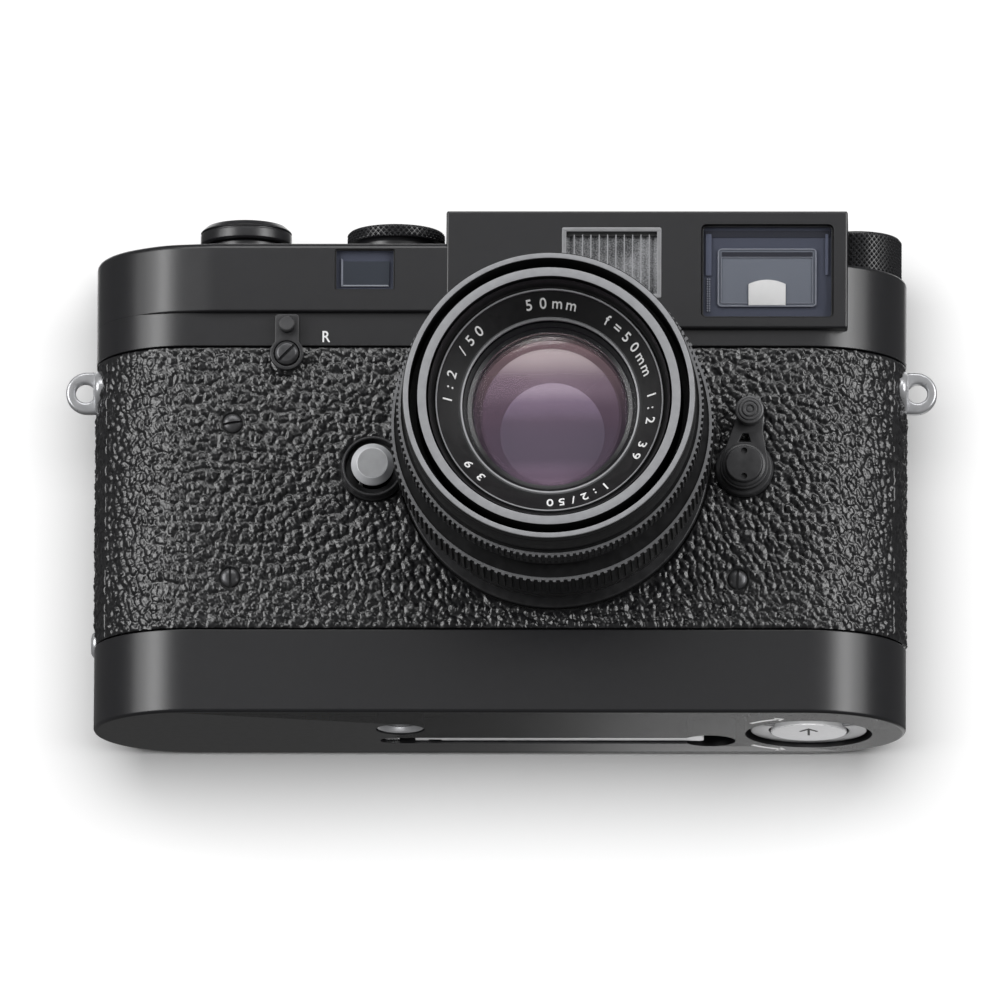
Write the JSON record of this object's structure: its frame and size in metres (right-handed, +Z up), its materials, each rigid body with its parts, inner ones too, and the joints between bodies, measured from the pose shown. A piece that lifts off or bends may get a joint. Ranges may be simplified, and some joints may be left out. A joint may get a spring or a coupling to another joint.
{
  "type": "rangefinder camera",
  "caption": "All-mechanical rangefinder camera with a short prime lens and pull-out hood, standing on a trigger-winding base with a folding finger lever.",
  "frame": {"origin": "middle of the winder base's flat underside, under the centre of the body", "axes": "-Y towards the lens and the subject, +X to the right of a viewer facing the lens, +Z up through the top cover"},
  "size_m": [0.1484, 0.0829, 0.0895],
  "materials": {
    "black_paint": "satin black lacquer on brass",
    "black_anodised": "black anodised, semi-gloss",
    "covering": "coarse pebbled black covering",
    "chrome": "satin chrome",
    "brass": "machined",
    "steel": "machined",
    "black_inner": "flat black",
    "glass": "coated",
    "frosted": "ribbed and frosted",
    "curtain": "rubberised cloth"
  },
  "bodies": {
    "winder": {"winder_housing": "black_paint", "tripod_bush": "chrome"},
    "trigger_carriage": {"trigger_carriage": "steel"},
    "trigger_lever": {"trigger_lever": "chrome"},
    "drive_pinion": {"drive_pinion": "brass"},
    "coupling_gear": {"coupling_gear": "brass"},
    "lock_disc": {"lock_disc": "chrome"},
    "lock_bail": {"lock_bail": "chrome"},
    "camera": {"body_shell": "black_inner", "front_covering": "covering", "top_cover": "black_paint", "viewfinder_glass": "glass", "illumination_window": "frosted", "rangefinder_window": "glass", "finder_prism": "glass", "eyepiece": "black_anodised", "mount_flange": "chrome", "film_gate": "black_inner", "shutter_curtain": "curtain", "counter_window": "glass", "release_collar": "black_paint", "accessory_shoe": "black_anodised", "strap_lug_left": "chrome", "strap_lug_right": "chrome", "base_stud": "chrome", "front_screw_upper": "black_anodised", "front_screw_lower": "black_anodised", "front_screw_right": "black_anodised", "release_lever_screw": "black_anodised", "selector_base": "black_paint", "selector_cap": "black_paint", "lens_release_ring": "black_paint", "door_hinge_pin": "steel"},
    "sprocket": {"sprocket": "steel"},
    "take_up_spool": {"take_up_spool": "black_inner"},
    "frame_counter": {"frame_counter": "black_inner"},
    "rewind_fork": {"rewind_fork": "steel"},
    "rewind_collar": {"rewind_collar": "steel"},
    "rewind_knob": {"rewind_knob": "black_paint"},
    "speed_dial": {"speed_dial": "black_paint"},
    "advance_lever": {"advance_lever": "black_paint"},
    "shutter_button": {"shutter_button": "black_anodised"},
    "rewind_release_lever": {"rewind_release_lever": "black_paint"},
    "frame_selector_lever": {"frame_selector_lever": "black_paint"},
    "lens_release_button": {"lens_release_button": "chrome"},
    "back_door": {"back_door": "black_inner", "door_covering": "covering", "pressure_plate": "black_inner"},
    "rangefinder_arm": {"rangefinder_arm": "brass"},
    "lens_bayonet": {"lens_bayonet": "chrome"},
    "lens_barrel": {"lens_barrel": "black_anodised"},
    "focus_ring": {"focus_ring": "black_anodised"},
    "lens_head": {"lens_head": "black_anodised", "name_ring": "black_anodised", "front_element": "glass", "rear_element": "glass", "iris": "black_inner"},
    "aperture_ring": {"aperture_ring": "black_anodised"},
    "lens_hood": {"lens_hood": "black_anodised"}
  },
  "joints": [
    {"name": "body_lift", "type": "slide", "parent": "winder", "child": "camera", "axis": [0, 0, 1], "range_m": [0, 0.03]},
    {"name": "trigger_pull", "type": "slide", "parent": "winder", "child": "trigger_carriage", "axis": [1, 0, 0], "range_m": [0, 0.0341]},
    {"name": "trigger_fold", "type": "hinge", "parent": "trigger_carriage", "child": "trigger_lever", "pos_m": [-0.0135, 0.0065, 0.0022], "axis": [0, 1, 0], "range_deg": [0, 90]},
    {"name": "pinion_turn", "type": "hinge", "parent": "winder", "child": "drive_pinion", "pos_m": [-0.031, 0, 0.005], "axis": [0, 0, 1], "range_deg": [-325, 0]},
    {"name": "coupling_turn", "type": "hinge", "parent": "winder", "child": "coupling_gear", "pos_m": [-0.05, 0, 0.009], "axis": [0, 0, 1], "range_deg": [0, 325]},
    {"name": "lock_turn", "type": "hinge", "parent": "winder", "child": "lock_disc", "pos_m": [0.0525, 0.001, 0.002], "axis": [0, 0, -1], "range_deg": [0, 180]},
    {"name": "bail_fold", "type": "hinge", "parent": "lock_disc", "child": "lock_bail", "pos_m": [0.0525, -0.0063, 0.0011], "axis": [-1, 0, 0], "range_deg": [0, 80]},
    {"name": "wind_stroke", "type": "hinge", "parent": "camera", "child": "advance_lever", "pos_m": [-0.0437, 0, 0.083], "axis": [0, 0, 1], "range_deg": [0, 130], "stiffness_Nm_per_rad": 0.002, "springref_deg": -17.19},
    {"name": "sprocket_turn", "type": "hinge", "parent": "camera", "child": "sprocket", "pos_m": [-0.031, 0.00395, 0.043], "axis": [0, 0, 1], "range_deg": [0, 361]},
    {"name": "spool_turn", "type": "hinge", "parent": "camera", "child": "take_up_spool", "pos_m": [-0.05, 0, 0.04], "axis": [0, 0, 1], "range_deg": [0, 340]},
    {"name": "counter_turn", "type": "hinge", "parent": "camera", "child": "frame_counter", "pos_m": [-0.057, -0.001, 0.0788], "axis": [0, 0, 1], "range_deg": [0, 10]},
    {"name": "button_press", "type": "slide", "parent": "camera", "child": "shutter_button", "axis": [0, 0, -1], "range_m": [0, 0.0012], "stiffness_N_per_m": 400, "springref_m": -0.0005},
    {"name": "speed_set", "type": "hinge", "parent": "camera", "child": "speed_dial", "pos_m": [-0.0181, 0, 0.084], "axis": [0, 0, 1], "range_deg": [-150, 120]},
    {"name": "knob_lift", "type": "slide", "parent": "camera", "child": "rewind_collar", "axis": [0, 0, 1], "range_m": [0, 0.005]},
    {"name": "rewind_turn", "type": "hinge", "parent": "rewind_collar", "child": "rewind_knob", "pos_m": [0.0606, 0, 0.082], "axis": [0, 0, 1], "continuous": true},
    {"name": "fork_turn", "type": "hinge", "parent": "camera", "child": "rewind_fork", "pos_m": [0.0606, 0, 0.06], "axis": [0, 0, 1], "continuous": true},
    {"name": "release_lever_turn", "type": "hinge", "parent": "camera", "child": "rewind_release_lever", "pos_m": [-0.03605, -0.01675, 0.0619], "axis": [0, 1, 0], "range_deg": [0, 70]},
    {"name": "selector_turn", "type": "hinge", "parent": "camera", "child": "frame_selector_lever", "pos_m": [0.04165, -0.01675, 0.0422], "axis": [0, 1, 0], "range_deg": [-25, 25], "stiffness_Nm_per_rad": 0.004},
    {"name": "lens_release_press", "type": "slide", "parent": "camera", "child": "lens_release_button", "axis": [0, 1, 0], "range_m": [0, 0.002], "stiffness_N_per_m": 400, "springref_m": -0.0005},
    {"name": "door_open", "type": "hinge", "parent": "camera", "child": "back_door", "pos_m": [0, 0.01575, 0.0609], "axis": [1, 0, 0], "range_deg": [0, 95]},
    {"name": "arm_follow", "type": "hinge", "parent": "camera", "child": "rangefinder_arm", "pos_m": [0.02545, -0.007, 0.058], "axis": [0, 0, 1], "range_deg": [0, 7.3]},
    {"name": "lens_pull", "type": "slide", "parent": "camera", "child": "lens_bayonet", "axis": [0, -1, 0], "range_m": [0, 0.03]},
    {"name": "lens_twist", "type": "hinge", "parent": "lens_bayonet", "child": "lens_barrel", "pos_m": [0.00945, -0.02, 0.0443], "axis": [0, 1, 0], "range_deg": [0, 60]},
    {"name": "focus_turn", "type": "hinge", "parent": "lens_barrel", "child": "focus_ring", "pos_m": [0.00945, -0.037, 0.0443], "axis": [0, 1, 0], "range_deg": [0, 95]},
    {"name": "head_extend", "type": "slide", "parent": "lens_barrel", "child": "lens_head", "axis": [0, -1, 0], "range_m": [0, 0.0036]},
    {"name": "aperture_turn", "type": "hinge", "parent": "lens_head", "child": "aperture_ring", "pos_m": [0.00945, -0.052, 0.0443], "axis": [0, 1, 0], "range_deg": [0, 70]},
    {"name": "hood_extend", "type": "slide", "parent": "lens_head", "child": "lens_hood", "axis": [0, -1, 0], "range_m": [0, 0.008]}
  ],
  "couplings": [
    {"joint": "trigger_pull", "follows": "trigger_fold", "m_per_rad": 0.021645},
    {"joint": "pinion_turn", "follows": "trigger_fold", "ratio": -3.5},
    {"joint": "coupling_turn", "follows": "trigger_fold", "ratio": 3.5},
    {"joint": "sprocket_turn", "follows": "wind_stroke", "ratio": 2.7692},
    {"joint": "spool_turn", "follows": "wind_stroke", "ratio": 2.577},
    {"joint": "counter_turn", "follows": "wind_stroke", "ratio": 0.06923},
    {"joint": "fork_turn", "follows": "rewind_turn", "ratio": 1},
    {"joint": "head_extend", "follows": "focus_turn", "m_per_rad": 0.00211},
    {"joint": "arm_follow", "follows": "focus_turn", "ratio": 0.0758}
  ]
}
